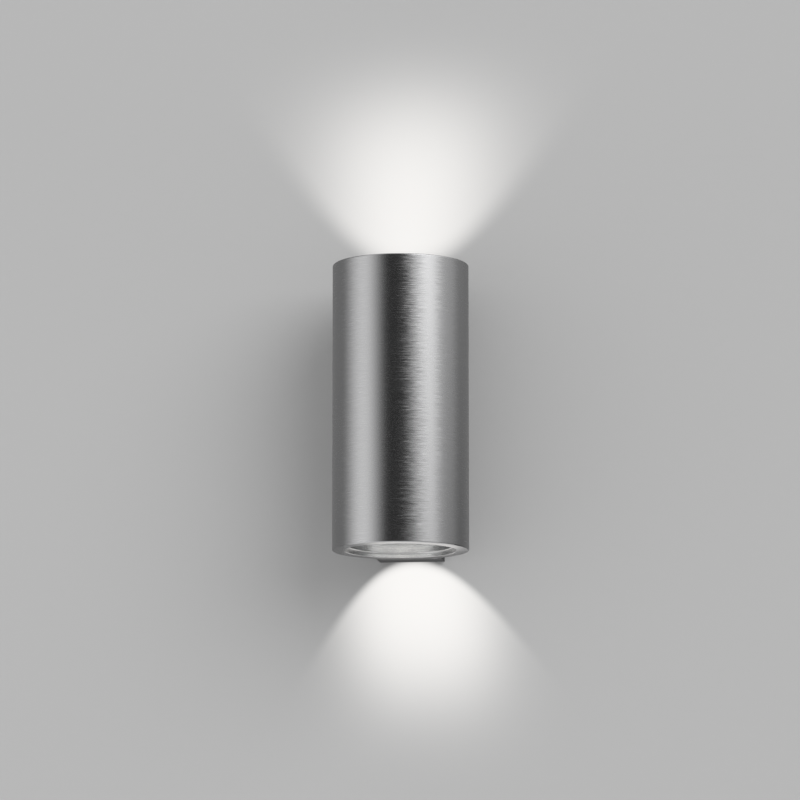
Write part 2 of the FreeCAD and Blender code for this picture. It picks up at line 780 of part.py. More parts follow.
def driver_case():
    """Rear half: it carries the board on two rails and takes the screws from the box."""
    body = driver_half("driver_case", 1)
    rails = new_sketch(body, "XY_Plane", -(DRIVER_HALF - S.driver_shell))
    inner = BOARD_X - S.ledge_width
    outer = BOARD_X + S.ledge_width / 2
    rail_y = other_side(DRIVER_INNER_R, BOARD_X)
    for side in (-1, 1):
        draw_box(rails, inner * side, outer * side, S.board_thickness / 2, rail_y)
    grow(body, rails, (DRIVER_HALF - S.driver_shell) * 2)
    bosses = new_sketch(body, "XZ_Plane", -(DRIVER_R - S.driver_screw_grip - S.driver_shell))
    for end in (-1, 1):
        draw_circle(bosses, 0, DRIVER_SCREW_Z * end, M3[0] * 2)
    grow(body, bosses, S.driver_screw_grip, backwards=True)
    holes = new_sketch(body, "XZ_Plane")
    for end in (-1, 1):
        draw_circle(holes, 0, DRIVER_SCREW_Z * end, M3[0] + S.screw_gap)
    draw_circle(holes, 0, ENTRY_Z, S.entry_hole / 2)
    cut(body, holes)
    ways = new_sketch(body, "XY_Plane")
    for side in (-1, 1):
        draw_circle(ways, S.led_lead_pitch / 2 * side, LED_LEAD_Y,
                    S.led_lead_diameter / 2 + S.hole_gap)
    cut(body, ways)
    cut(body, ways, backwards=True)
    return body


def driver_cover():
    """Front half of the housing; it holds the board down on its rails."""
    body = driver_half("driver_cover", -1)
    rails = new_sketch(body, "XY_Plane", -(DRIVER_HALF - S.driver_shell))
    inner = BOARD_X - S.ledge_width
    outer = BOARD_X + S.ledge_width / 2
    rail_y = other_side(DRIVER_INNER_R, BOARD_X)
    for side in (-1, 1):
        draw_box(rails, inner * side, outer * side, -S.board_thickness / 2, -rail_y)
    grow(body, rails, (DRIVER_HALF - S.driver_shell) * 2)
    return body


def driver_board():
    body = new_body("driver_board", y=AXIS_Y)
    board = new_sketch(body, "XZ_Plane", -(S.board_thickness / 2 - S.press_gap))
    draw_box(board, -BOARD_X, BOARD_X, -BOARD_HALF, BOARD_HALF)
    grow(body, board, S.board_thickness - S.press_gap * 2)
    return body


BOARD_FRONT_Y = -(S.board_thickness / 2 - S.press_gap)
BOARD_BACK_Y = S.board_thickness / 2 - S.press_gap
CAPACITOR_Z = BOARD_HALF - S.ledge_width - S.capacitor_diameter / 2


def driver_transformer():
    """Core and winding on the board's front: a flat block with a narrower waist."""
    body = new_body("driver_transformer", y=AXIS_Y)
    core = new_sketch(body, "XZ_Plane", -BOARD_FRONT_Y)
    half_width = S.transformer_width / 2
    low = S.ledge_width - BOARD_HALF
    top = CAPACITOR_Z - S.capacitor_diameter / 2 - S.component_gap
    draw_box(core, -half_width, half_width, low, top)
    grow(body, core, S.transformer_depth)
    waist = new_sketch(body, "XY_Plane", low)
    for side in (-1, 1):
        draw_box(waist, half_width * side, half_width * side * 0.8,
                 BOARD_FRONT_Y - S.transformer_depth * 0.3, BOARD_FRONT_Y - S.transformer_depth * 0.8)
    cut(body, waist, backwards=True)
    return body


def driver_capacitors():
    """Two round capacitors that stand out from the board's front, above the transformer."""
    body = new_body("driver_capacitors", y=AXIS_Y)
    cans = new_sketch(body, "XZ_Plane", -BOARD_FRONT_Y)
    radius = S.capacitor_diameter / 2
    for side in (-1, 1):
        draw_circle(cans, (radius + S.ledge_width) * side, CAPACITOR_Z, radius)
    grow(body, cans, S.capacitor_length)
    return body


def driver_block(label, middle_z, wire_pitch, wire_radius):
    """Small connector on the board's back, with two wire holes that face the wall."""
    body = new_body(label, y=AXIS_Y)
    block = new_sketch(body, "XZ_Plane", -BOARD_BACK_Y)
    half_width = S.driver_block_width / 2
    half_height = S.driver_block_height / 2
    draw_box(block, -half_width, half_width, middle_z - half_height, middle_z + half_height)
    grow(body, block, S.driver_block_depth, backwards=True)
    wires = new_sketch(body, "XZ_Plane", -(BOARD_BACK_Y + S.driver_block_depth / 2))
    for side in (-1, 1):
        draw_circle(wires, wire_pitch / 2 * side, middle_z, wire_radius)
    cut(body, wires)
    return body


# ---------------------------------------------------------------------------- wires in the box
BLOCK_LOW = DRIVER_SCREW_Z + M3[1] + S.block_clearance
BLOCK_TOP = SINK_SCREW_Z - M4[1] - S.block_clearance
BLOCK_HEIGHT = BLOCK_TOP - BLOCK_LOW
BLOCK_Z = (BLOCK_LOW + BLOCK_TOP) / 2
BLOCK_BACK_Y = WEB_Y + S.block_depth
WIRE_Y = WEB_Y + S.block_depth / 3
EARTH_X = -S.pole_pitch
EARTH_Z = ENTRY_Z - S.earth_drop
OUTPUT_Z = BOARD_HALF - S.block_clearance - S.driver_block_height / 2


def terminal_block():
    """Moulded three-pole block on the web of the box."""
    body = new_body("terminal_block")
    blank = new_sketch(body, "XZ_Plane", -WEB_Y)
    half_width = S.block_width / 2
    draw_box(blank, -half_width, half_width, BLOCK_LOW, BLOCK_TOP)
    grow(body, blank, S.block_depth, backwards=True)
    ways = new_sketch(body, "XY_Plane", BLOCK_LOW)
    wells = new_sketch(body, "XZ_Plane", -BLOCK_BACK_Y)
    for pole in (-1, 0, 1):
        draw_circle(ways, S.pole_pitch * pole, WIRE_Y, S.wire_hole / 2)
        for way in (-1, 1):
            draw_circle(wells, S.pole_pitch * pole, BLOCK_Z + BLOCK_HEIGHT / 4 * way,
                        S.wire_screw_diameter / 2 + S.screw_gap)
    cut(body, ways, backwards=True)
    cut(body, wells, BLOCK_BACK_Y - WIRE_Y, backwards=True)
    fixings = new_sketch(body, "XZ_Plane", -BLOCK_BACK_Y)
    seats = new_sketch(body, "XZ_Plane", -BLOCK_BACK_Y)
    for way in (-1, 1):
        draw_circle(fixings, S.pole_pitch / 2 * way, BLOCK_Z, M3[0] + S.hole_gap)
        draw_circle(seats, S.pole_pitch / 2 * way, BLOCK_Z, M3[1] + S.hole_gap)
    cut(body, fixings, backwards=True)
    cut(body, seats, M3[2], backwards=True)
    return body


def terminal_screws():
    """Six clamping screws, two to a pole, reached from the wall side."""
    body = new_body("terminal_screws")
    depth = BLOCK_BACK_Y - WIRE_Y - S.wire_hole / 2
    cylinders = new_sketch(body, "XZ_Plane", -(BLOCK_BACK_Y - depth))
    slots = new_sketch(body, "XZ_Plane", -BLOCK_BACK_Y)
    for pole in (-1, 0, 1):
        for way in (-1, 1):
            x = S.pole_pitch * pole
            z = BLOCK_Z + BLOCK_HEIGHT / 4 * way
            draw_circle(cylinders, x, z, S.wire_screw_diameter / 2)
            reach = S.wire_screw_diameter
            half_slot = S.wire_screw_diameter / 8
            draw_box(slots, x - reach, x + reach, z - half_slot, z + half_slot)
    grow(body, cylinders, depth, backwards=True)
    cut(body, slots, S.wire_screw_diameter / 4, backwards=True)
    return body


def earth_tag():
    """Ring tag under the earth screw, with a tail that grips the lead."""
    body = new_body("earth_tag", x=EARTH_X, y=WEB_Y, z=EARTH_Z)
    thickness = S.grommet_flange / 2
    ring = new_sketch(body, "XZ_Plane")
    draw_circle(ring, 0, 0, M4[1])
    grow(body, ring, thickness, backwards=True)
    tail = new_sketch(body, "XZ_Plane")
    half_tail = S.lead_diameter / 2 + thickness
    draw_box(tail, -half_tail, half_tail, M4[1] - thickness, M4[1] + S.lead_diameter * 2)
    grow(body, tail, thickness, backwards=True)
    hole = new_sketch(body, "XZ_Plane", -thickness)
    draw_circle(hole, 0, 0, M4[0] + S.hole_gap)
    cut(body, hole, backwards=True)
    return body


def lead(label, places, diameter):
    """A held wire: straight runs joined by tangent arcs, as large as runs and box allow."""
    corners = [V(*(as_size(value).number for value in place)) for place in places]
    edges = []
    start = corners[0]
    length = 0
    for before, corner, after in zip(corners, corners[1:], corners[2:]):
        come = (corner - before).normalize()
        go = (after - corner).normalize()
        bend = come.getAngle(go)
        room = 0.45 * min(before.distanceToPoint(corner), corner.distanceToPoint(after))
        radius = min(room / math.tan(bend / 2), S.lead_bend.number)
        reach = radius * math.tan(bend / 2)
        arc_start = corner - come * reach
        arc_end = corner + go * reach
        inward = (go - come).normalize()
        centre = corner + inward * (radius / math.cos(bend / 2))
        middle = centre - inward * radius
        edges.append(Part.LineSegment(start, arc_start).toShape())
        edges.append(Part.Arc(arc_start, middle, arc_end).toShape())
        length += start.distanceToPoint(arc_start) + radius * bend
        start = arc_end
        print(f"{label}: bend radius {radius:.2f}")
    edges.append(Part.LineSegment(start, corners[-1]).toShape())
    length += start.distanceToPoint(corners[-1])
    path = Part.Wire(edges)
    radius = as_size(diameter).number / 2
    heading = (corners[1] - corners[0]).normalize()
    section = Part.Wire([Part.makeCircle(radius, corners[0], heading)])
    shape = path.makePipeShell([section], True, False)
    expected = length * math.pi * radius * radius
    print(f"{label}: volume over section times length {shape.Volume / expected:.4f}")
    feature = doc.addObject("Part::Feature", label)
    feature.Label = label
    feature.Shape = shape
    feature.Placement = FreeCAD.Placement()
    return feature


def supply_lead(label, side):
    """Live or neutral lead, from the terminal block through the grommet to the driver."""
    pole_x = S.pole_pitch * side
    lead_x = S.lead_pitch / 2 * side
    return lead(label, [
        (pole_x, WIRE_Y, BLOCK_LOW + BLOCK_HEIGHT / 4),
        (pole_x, WIRE_Y, BLOCK_LOW - S.lead_diameter),
        (lead_x, WIRE_Y, ENTRY_Z),
        (lead_x, AXIS_Y + BOARD_BACK_Y + S.driver_block_depth * 3 / 4, ENTRY_Z),
    ], S.lead_diameter)


def earth_lead():
    """From the middle pole, over the other two leads, to the earth tag."""
    over_y = WIRE_Y + S.lead_diameter * 2
    drop_z = EARTH_Z + M4[1] + S.lead_diameter * 4
    tag_y = WEB_Y + S.grommet_flange / 2 + S.lead_diameter / 2
    return lead("earth_lead", [
        (0, WIRE_Y, BLOCK_LOW + BLOCK_HEIGHT / 4),
        (0, WIRE_Y, BLOCK_LOW - S.lead_diameter),
        (0, over_y, BLOCK_LOW - S.lead_diameter * 3),
        (0, over_y, ENTRY_Z - S.lead_diameter),
        (EARTH_X, tag_y, drop_z),
        (EARTH_X, tag_y, EARTH_Z + M4[1] + S.press_gap),
    ], S.lead_diameter)


def led_lead(end, side, colour):
    """From the driver's output connector, up or down through the heat sink to the LED holder."""
    way = 1 if end == "upper" else -1
    lead_x = S.led_lead_pitch / 2 * side
    connector_y = AXIS_Y + BOARD_BACK_Y + S.driver_block_depth * 3 / 4
    rise_y = AXIS_Y + LED_LEAD_Y
    return lead(f"{end}_{colour}_lead", [
        (lead_x, connector_y, OUTPUT_Z * way),
        (lead_x, rise_y, OUTPUT_Z * way),
        (lead_x, rise_y, (HALF - SINK_FRONT + S.holder_height / 2 - S.press_gap) * way),
    ], S.led_lead_diameter)


# ------------------------------------------------------------------------------- put together
pieces = [
    wall_plate(),
    plate_grommet(),
    tube_housing(),
    tube_grommet(),
    box_channel(),
    wall_seal(),
]
for end in ("upper", "lower"):
    pieces += [
        box_cap(end),
        cap_screws(end),
        retaining_ring(end),
        lens(end),
        lens_gasket(end),
        reflector(end),
        led_holder(end),
        holder_screws(end),
        thermal_pad(end),
        led_board(end),
        led_chip(end),
        heat_sink(end),
    ]
pieces += [lock_screw("left"), lock_screw("right")]
pieces += [
    driver_case(),
    driver_cover(),
    driver_board(),
    driver_transformer(),
    driver_capacitors(),
    driver_block("driver_input_block", ENTRY_Z, S.lead_pitch, S.lead_diameter / 2 + S.hole_gap),
    driver_block("driver_upper_block", OUTPUT_Z, S.led_lead_pitch, S.led_lead_diameter / 2 + S.hole_gap),
    driver_block("driver_lower_block", -OUTPUT_Z, S.led_lead_pitch, S.led_lead_diameter / 2 + S.hole_gap),
    terminal_block(),
    terminal_screws(),
    earth_tag(),
]
web_spots = {
    "box_screws": ([(0, BOX_SCREW_Z), (0, -BOX_SCREW_Z)], M4, S.box_wall + S.box_screw_grip),
    "heat_sink_screws": ([(0, SINK_SCREW_Z), (0, -SINK_SCREW_Z)], M4,
                         S.box_wall + S.tube_wall + S.sink_screw_grip),
    "driver_screws": ([(0, DRIVER_SCREW_Z), (0, -DRIVER_SCREW_Z)], M3,
                      S.box_wall + S.tube_wall + S.driver_screw_grip + S.driver_shell),
}
for label, (spots, size, grip) in web_spots.items():
    pieces.append(screws(label, "XZ_Plane", spots, -WEB_Y, size, grip, away=False))
pieces.append(screws("earth_screw", "XZ_Plane", [(EARTH_X, EARTH_Z)], -(WEB_Y + S.grommet_flange / 2),
                     M4, S.grommet_flange / 2 + S.box_wall, away=False))
block_spots = [(S.pole_pitch / 2 * way, BLOCK_Z) for way in (-1, 1)]
pieces.append(screws("block_screws", "XZ_Plane", block_spots, -(BLOCK_BACK_Y - M3[2]), M3,
                     S.block_depth - M3[2] + S.box_wall, away=False))
pieces += [
    supply_lead("live_lead", -1),
    supply_lead("neutral_lead", 1),
    earth_lead(),
]
for end in ("upper", "lower"):
    pieces += [led_lead(end, -1, "black"), led_lead(end, 1, "red")]

doc.recompute()

for thing in doc.Objects:
    if "Invalid" in thing.State or "Error" in thing.State:
        raise RuntimeError(f"{thing.Label} is {thing.State}")
for piece in pieces:
    if piece.Shape.isNull() or not piece.Shape.isValid():
        raise RuntimeError(f"{piece.Label} has no valid shape")

os.makedirs("parts", exist_ok=True)
for piece in pieces:
    piece.Shape.exportStep(f"parts/{piece.Label}.step")
    solids = len(piece.Shape.Solids)
    print(f"{piece.Label}: {solids} solid(s), {piece.Shape.Volume:.1f} mm3")
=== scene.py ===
import math

import bmesh
import bpy
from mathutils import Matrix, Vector


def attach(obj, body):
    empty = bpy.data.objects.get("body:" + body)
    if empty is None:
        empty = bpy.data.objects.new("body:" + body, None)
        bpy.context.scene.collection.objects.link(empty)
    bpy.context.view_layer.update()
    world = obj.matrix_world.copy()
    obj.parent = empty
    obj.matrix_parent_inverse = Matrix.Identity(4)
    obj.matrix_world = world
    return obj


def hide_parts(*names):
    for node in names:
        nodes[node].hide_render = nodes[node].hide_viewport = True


# A tube wall light. The script follows it as a fitter would put it together: the wall plate, the
# tube on its stand-off box, what closes the two mouths, the LEDs, the driver and the wiring.
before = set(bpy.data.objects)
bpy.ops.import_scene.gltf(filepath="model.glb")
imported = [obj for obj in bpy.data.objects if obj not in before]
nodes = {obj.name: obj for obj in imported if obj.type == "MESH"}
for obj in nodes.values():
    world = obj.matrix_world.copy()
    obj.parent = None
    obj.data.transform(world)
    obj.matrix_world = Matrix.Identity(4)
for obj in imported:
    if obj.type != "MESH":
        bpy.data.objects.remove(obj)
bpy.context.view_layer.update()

# ---------------------------------------------------------------------------------- wall plate
# Folded from 2 mm zinc-plated sheet: two slots for the wall screws, a hole for the house cable and
# four side tabs that the lamp's lock screws bear on. It stays on the wall when the lamp comes off.


class Link:
    """The output of a shader node; sums and products of links add Math nodes."""

    def __init__(self, paint, socket):
        self.paint = paint
        self.socket = socket

    def maths(self, operation, *values):
        sockets = dict(enumerate(values))
        return self.paint.node("Math", {"operation": operation}, sockets)

    def __add__(self, other):
        return self.maths("ADD", self, other)

    def __sub__(self, other):
        return self.maths("SUBTRACT", self, other)

    def __rsub__(self, other):
        return self.maths("SUBTRACT", other, self)

    def __mul__(self, other):
        return self.maths("MULTIPLY", self, other)

    def __truediv__(self, other):
        return self.maths("DIVIDE", self, other)

    def __rtruediv__(self, other):
        return self.maths("DIVIDE", other, self)

    def power(self, exponent):
        return self.maths("POWER", self, exponent)

    def exp(self):
        return self.maths("EXPONENT", self)

    def at_least(self, floor):
        return self.maths("MAXIMUM", self, floor)

    def ease(self, low, high):
        """0 below low, 1 above high and a soft step between them; low may be the larger."""
        steps = {"Value": self, "From Min": low, "From Max": high}
        return self.paint.node("MapRange", {"interpolation_type": "SMOOTHSTEP"}, steps)

    __radd__ = __add__
    __rmul__ = __mul__


class Paint:
    """The nodes of one material, or of the room's light."""

    def __init__(self, tree):
        self.tree = tree

    def node(self, kind, settings, sockets, output=0):
        """Adds a node: its settings first, then the values or links of its sockets."""
        made = self.tree.nodes.new("ShaderNode" + kind)
        for name, value in settings.items():
            setattr(made, name, value)
        for key, value in sockets.items():
            if isinstance(value, Link):
                self.tree.links.new(value.socket, made.inputs[key])
            else:
                made.inputs[key].default_value = value
        return Link(self, made.outputs[output])

    def place(self):
        """Where a point is on the lamp at rest, in metres."""
        return self.node("TexCoord", {}, {}, "Object")

    def along(self, axis):
        """How far a point lies along one of the lamp's axes."""
        return self.node("SeparateXYZ", {}, {"Vector": self.place()}, axis)

    def noise(self, scale, detail):
        """Noise of about the given features per metre; three numbers stretch it along the axes."""
        at = self.place()
        if isinstance(scale, tuple):
            at = self.node("VectorMath", {"operation": "MULTIPLY"}, {0: at, 1: scale})
            scale = 1
        return self.node("TexNoise", {}, {"Vector": at, "Scale": scale, "Detail": detail})

    def blend(self, share, first, second):
        """Goes from one colour to another."""
        sockets = {"Factor": share, 6: colour(first), 7: colour(second)}
        return self.node("Mix", {"data_type": "RGBA"}, sockets, 2)

    def bump(self, height, depth):
        """Relief of the given depth in metres."""
        return self.node("Bump", {}, {"Height": height, "Distance": depth, "Strength": 1.0})


def colour(value):
    """Three numbers as a socket's colour; a link stays as it is."""
    return value if isinstance(value, Link) else (*value, 1)


def finish(name):
    """A new material, and the paint that its nodes are added with."""
    material = bpy.data.materials.new(name)
    material.use_nodes = True
    return material, Paint(material.node_tree)


def coat(material, paint, **sockets):
    """Sets the material's own shader: words with _ for spaces, values or links."""
    shader = material.node_tree.nodes["Principled BSDF"]
    for key, value in sockets.items():
        socket = shader.inputs[key.replace("_", " ")]
        if isinstance(value, Link):
            paint.tree.links.new(value.socket, socket)
        elif isinstance(value, tuple):
            socket.default_value = (*value, 1)[:len(socket.default_value)]
        else:
            socket.default_value = value
    return material


SAME_SPOT = 0.000002
FLAT = math.radians(0.5)
CORNER = math.radians(40)
PLAIN_CORNER = math.radians(35)


def soften(piece, edge):
    """Breaks the sharp edges of a solid's mesh, if edge isn't 0, and smooths what is round."""
    weld = piece.modifiers.new("weld", "WELD")
    weld.merge_threshold = SAME_SPOT
    flat = piece.modifiers.new("flats", "DECIMATE")
    flat.decimate_type = "DISSOLVE"
    flat.angle_limit = FLAT
    if edge:
        bevel = piece.modifiers.new("edges", "BEVEL")
        bevel.width = edge
        bevel.segments = 2
        bevel.limit_method = "ANGLE"
        bevel.angle_limit = CORNER
    else:
        split = piece.modifiers.new("corners", "EDGE_SPLIT")
        split.split_angle = PLAIN_CORNER
    piece.data.shade_smooth()
    weigh = piece.modifiers.new("shading", "WEIGHTED_NORMAL")
    weigh.keep_sharp = True


def dress(names, material, edge):
    """Gives carried-over solids their finish, and edges broken by so much."""
    for name in names:
        piece = nodes[name]
        piece.data.materials.clear()
        piece.data.materials.append(material)
        soften(piece, edge)


def zinc_plate():
    material, paint = finish("zinc_plate")
    cloud = paint.noise(90, 5)
    spangle = paint.node("TexVoronoi", {}, {"Vector": paint.place(), "Scale": 260}, "Color")
    patch = paint.node("SeparateColor", {}, {"Color": spangle})
    rolled = paint.noise((400, 400, 30), 3)
    tone = cloud * 0.6 + patch * 0.25 + rolled * 0.15
    return coat(
        material, paint, Metallic=1.0,
        Base_Color=paint.blend(tone, (0.50, 0.51, 0.53), (0.70, 0.71, 0.73)),
        Roughness=tone * 0.25 + 0.27,
        Normal=paint.bump(cloud * 0.5 + rolled * 0.5, 0.00004))


dress(["wall_plate"], zinc_plate(), edge=0.0002)

# -------------------------------------------------------------------------------- two grommets
# Black moulded rubber: one keeps the house cable off the plate's edge, the other lines the way of
# the driver's leads through box and tube. Both snap into their holes.


def moulded_rubber(name, tone, grain):
    material, paint = finish(name)
    skin = paint.noise(grain, 4)
    dust = paint.noise(140, 3)
    dark = tuple(0.7 * part for part in tone)
    light = tuple(1.5 * part for part in tone)
    return coat(
        material, paint,
        Base_Color=paint.blend(skin * 0.5 + dust * 0.5, dark, light),
        Roughness=dust * 0.2 + 0.5,
        Normal=paint.bump(skin, 0.00003))


grommet_rubber = moulded_rubber("grommet_rubber", (0.03, 0.03, 0.03), 2600)
dress(["plate_grommet", "tube_grommet"], grommet_rubber, edge=0.0003)

# -------------------------------------------------------------------------------- tube housing
# Thick-walled aluminium tube, brushed round its outside on a lathe. Both mouths are bored out for
# the rings, and each rim is faced flat, with its edges broken outside and, less so, inside.
TUBE_Y = -0.050
TUBE_R = 0.035
HALF = 0.074
MOUTH_R = 0.0285
BORE_R = 0.027
SHOULDER = 0.0126
OUTER_BREAK = 0.0004
MOUTH_BREAK = 0.00012
EDGE_ROUND = 0.0002


def rounded(corners, radius, steps=5):
    """Rounds every corner of a closed profile, as far as its neighbours leave room."""
    profile = []
    count = len(corners)
    for i in range(count):
        here = Vector(corners[i])
        before = Vector(corners[i - 1]) - here
        after = Vector(corners[(i + 1) % count]) - here
        reach = min(radius, before.length * 0.45, after.length * 0.45)
        start = here + before.normalized() * reach
        end = here + after.normalized() * reach
        for step in range(steps + 1):
            share = step / steps
            low = start.lerp(here, share)
            high = here.lerp(end, share)
            profile.append(tuple(low.lerp(high, share)))
    return profile


def add_mesh(name, shape, material, corner=CORNER):
    """Makes a piece of a bmesh, smooth but for its corners."""
    bmesh.ops.recalc_face_normals(shape, faces=shape.faces)
    mesh = bpy.data.meshes.new(name)
    shape.to_mesh(mesh)
    shape.free()
    mesh.shade_smooth()
    mesh.set_sharp_from_angle(angle=corner)
    mesh.materials.append(material)
    piece = bpy.data.objects.new(name, mesh)
    bpy.context.scene.collection.objects.link(piece)
    weigh = piece.modifiers.new("shading", "WEIGHTED_NORMAL")
    weigh.keep_sharp = True
    return piece


def lathe(profile, steps=256):
    """Turns a closed profile of (radius, z) about the tube's axis."""
    shape = bmesh.new()
    rounds = []
    for radius, z in profile:
        circle = []
        for i in range(steps):
            angle = 2 * math.pi * i / steps
            spot = (radius * math.cos(angle), TUBE_Y + radius * math.sin(angle), z)
            circle.append(shape.verts.new(spot))
        rounds.append(circle)
    for near, far in zip(rounds, rounds[1:] + rounds[:1]):
        for i in range(steps):
            j = (i + 1) % steps
            shape.faces.new((near[i], near[j], far[j], far[i]))
    return shape


def round_brushed(name, light, streak, rough, pitch, tilt, cut, cut_rough, bore=None, painted_sheen_sides=None):
    """Bare aluminium with fine lines round the tube's axis.

    The lines are darker than light by streak, tilt the skin by tilt and number pitch to a metre.
    Flat faces have the cut colour, which goes over to ends on the left and right: a painted sheen,
    lighter in front and behind and darker to the sides, as turned lines would catch the light. The wall
    of a mouth has the bore colour.
    """
    material, paint = finish(name)
    fine = paint.noise((240, 240, pitch), 1)
    long = paint.noise((100, 100, pitch * 0.7), 1)
    cloud = paint.noise(35, 3)
    lines = fine * 0.6 + long * 0.4
    x = paint.along("X")
    y = paint.along("Y") - TUBE_Y
    coarser = x.ease(-0.007, 0.003) * 0.8 + 0.2
    amount = (lines - 0.5) * coarser * tilt
    upright = (0.0, 0.0, 1.0)
    facing = paint.node("NewGeometry", {}, {}, "Normal")
    around = paint.node("VectorMath", {"operation": "CROSS_PRODUCT"}, {0: upright, 1: facing})
    lean = paint.node("VectorMath", {"operation": "SCALE"}, {0: around, "Scale": amount})
    leaned = paint.node("VectorMath", {"operation": "ADD"}, {0: facing, 1: lean})
    normal = paint.node("VectorMath", {"operation": "NORMALIZE"}, {0: leaned})
    rise = paint.node("SeparateXYZ", {}, {"Vector": facing}, "Z")
    faced = rise.maths("ABSOLUTE", rise).ease(0.8, 0.95)
    dark = tuple(part * (1 - streak) for part in light)
    skin = paint.blend(lines.ease(0.25, 0.75), dark, light)
    if bore:
        radius = (x * x + y * y).power(0.5)
        skin = paint.blend(radius.ease(MOUTH_R + 0.001, MOUTH_R + 0.0003), skin, bore)
    # Painted sheen: flat faces lighter in front and behind, darker to the left and right of the axis.
    if painted_sheen_sides:
        painted_sheen_fan = (y * y) / (x * x + y * y)
        cut = paint.blend(painted_sheen_fan.ease(0.1, 0.8), painted_sheen_sides, cut)
    uneven = (cloud - 0.5) * 0.06 + (lines - 0.5) * 0.12
    return coat(
        material, paint, Metallic=1.0, Anisotropic=0.6, Anisotropic_Rotation=0.25,
        Base_Color=paint.blend(faced, skin, cut),
        Roughness=uneven + (1 - faced) * rough + faced * cut_rough,
        Normal=normal)


tube_side = [
    (BORE_R, HALF - SHOULDER),
    (MOUTH_R, HALF - SHOULDER),
    (MOUTH_R, HALF - MOUTH_BREAK),
    (MOUTH_R + MOUTH_BREAK, HALF),
    (TUBE_R - OUTER_BREAK, HALF),
    (TUBE_R, HALF - OUTER_BREAK),
]
tube_profile = tube_side + [(radius, -z) for radius, z in reversed(tube_side)]
brushed_aluminium = round_brushed(
    "brushed_aluminium", light=(0.64, 0.64, 0.645), streak=0.10, rough=0.25, pitch=4600, tilt=0.34,
    cut=(0.46, 0.46, 0.465), cut_rough=0.16, bore=(0.80, 0.80, 0.80))
tube = add_mesh("tube", lathe(rounded(tube_profile, EDGE_ROUND)), brushed_aluminium, math.radians(60))
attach(tube, "lamp")
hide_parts("tube_housing")

# -------------------------------------------------------------------------------- stand-off box
# An extruded aluminium channel, satin anodised, with a front hollowed to the tube's round. Two
# plates close its ends, each with two sunk screws, and a foam frame seals it against the wall.


def satin_anodised():
    material, paint = finish("satin_anodised")
    drawn = paint.noise((900, 900, 14), 3)
    cloud = paint.noise(60, 4)
    grain = paint.noise(5200, 2)
    return coat(
        material, paint, Metallic=1.0,
        Base_Color=paint.blend(drawn * 0.6 + cloud * 0.4, (0.10, 0.10, 0.104), (0.17, 0.17, 0.174)),
        Roughness=grain * 0.12 + cloud * 0.08 + 0.33,
        Normal=paint.bump(grain * 0.7 + drawn * 0.3, 0.00002))


def foam_rubber():
    material, paint = finish("foam_rubber")
    cells = paint.node("TexVoronoi", {}, {"Vector": paint.place(), "Scale": 2400}, "Distance")
    skin = paint.noise(300, 3)
    return coat(
        material, paint,
        Base_Color=paint.blend(cells * 0.7 + skin * 0.3, (0.03, 0.03, 0.032), (0.11, 0.11, 0.112)),
        Roughness=skin * 0.15 + 0.8,
        Normal=paint.bump(cells, 0.0001))


def plated_steel(name, dark, light, rough):
    """Machine screws: turned heads, with faint rings and handling marks."""
    material, paint = finish(name)
    cloud = paint.noise(700, 4)
    marks = paint.noise((4200, 4200, 1600), 2)
    return coat(
        material, paint, Metallic=1.0,
        Base_Color=paint.blend(cloud * 0.7 + marks * 0.3, dark, light),
        Roughness=cloud * 0.18 + rough,
        Normal=paint.bump(marks, 0.00001))


screw_steel = plated_steel("screw_steel", (0.48, 0.48, 0.49), (0.70, 0.70, 0.71), 0.22)
dress(["box_channel", "box_top_cap", "box_bottom_cap"], satin_anodised(), edge=0.0002)
dress(["wall_seal"], foam_rubber(), edge=0.0002)
dress(["top_cap_screws", "bottom_cap_screws"], screw_steel, edge=0.0001)

# ------------------------------------------------------------------------------- lock screws
# Two M4 grub screws, blacked steel, low in the box's sides. Their tips bear on the plate's tabs.
black_steel = plated_steel("black_steel", (0.05, 0.05, 0.052), (0.13, 0.13, 0.135), 0.3)
dress(["left_lock_screw", "right_lock_screw"], black_steel, edge=0.0001)

# ----------------------------------------------------------------------------- retaining rings
# Turned aluminium rings that screw into the mouths and hold the lenses. Two slots across the front
# of each take a key. Each rides on its own thread, so it turns as it comes out.
RING_OUT_R = 0.0284
RING_IN_R = 0.0264
RING_FRONT = 0.0021
RING_BACK = 0.0081
SLOT_WIDTH = 0.002
SLOT_DEPTH = 0.0012
RING_BREAK = 0.0003


def cut_boxes(piece, boxes):
    """Mills straight-sided cuts out of a piece, each given by two corners."""
    cutter_shape = bmesh.new()
    for low, high in boxes:
        made = bmesh.ops.create_cube(cutter_shape, size=1)
        middle = (Vector(low) + Vector(high)) / 2
        size = Vector(high) - Vector(low)
        for vert in made["verts"]:
            vert.co = middle + Vector(side * length for side, length in zip(vert.co, size))
    mesh = bpy.data.meshes.new("cutter")
    cutter_shape.to_mesh(mesh)
    cutter_shape.free()
    cutter = bpy.data.objects.new("cutter", mesh)
    bpy.context.scene.collection.objects.link(cutter)
    for modifier in list(piece.modifiers):
        piece.modifiers.remove(modifier)
    milled = piece.modifiers.new("milled", "BOOLEAN")
    milled.object = cutter
    milled.solver = "EXACT"
    graph = bpy.context.evaluated_depsgraph_get()
    result = bpy.data.meshes.new_from_object(piece.evaluated_get(graph), depsgraph=graph)
    material = piece.data.materials[0]
    piece.modifiers.remove(milled)
    bpy.data.objects.remove(cutter)
    piece.data = result
    result.materials.clear()
    result.materials.append(material)
    result.shade_smooth()
    result.set_sharp_from_angle(angle=CORNER)
    weigh = piece.modifiers.new("shading", "WEIGHTED_NORMAL")
    weigh.keep_sharp = True
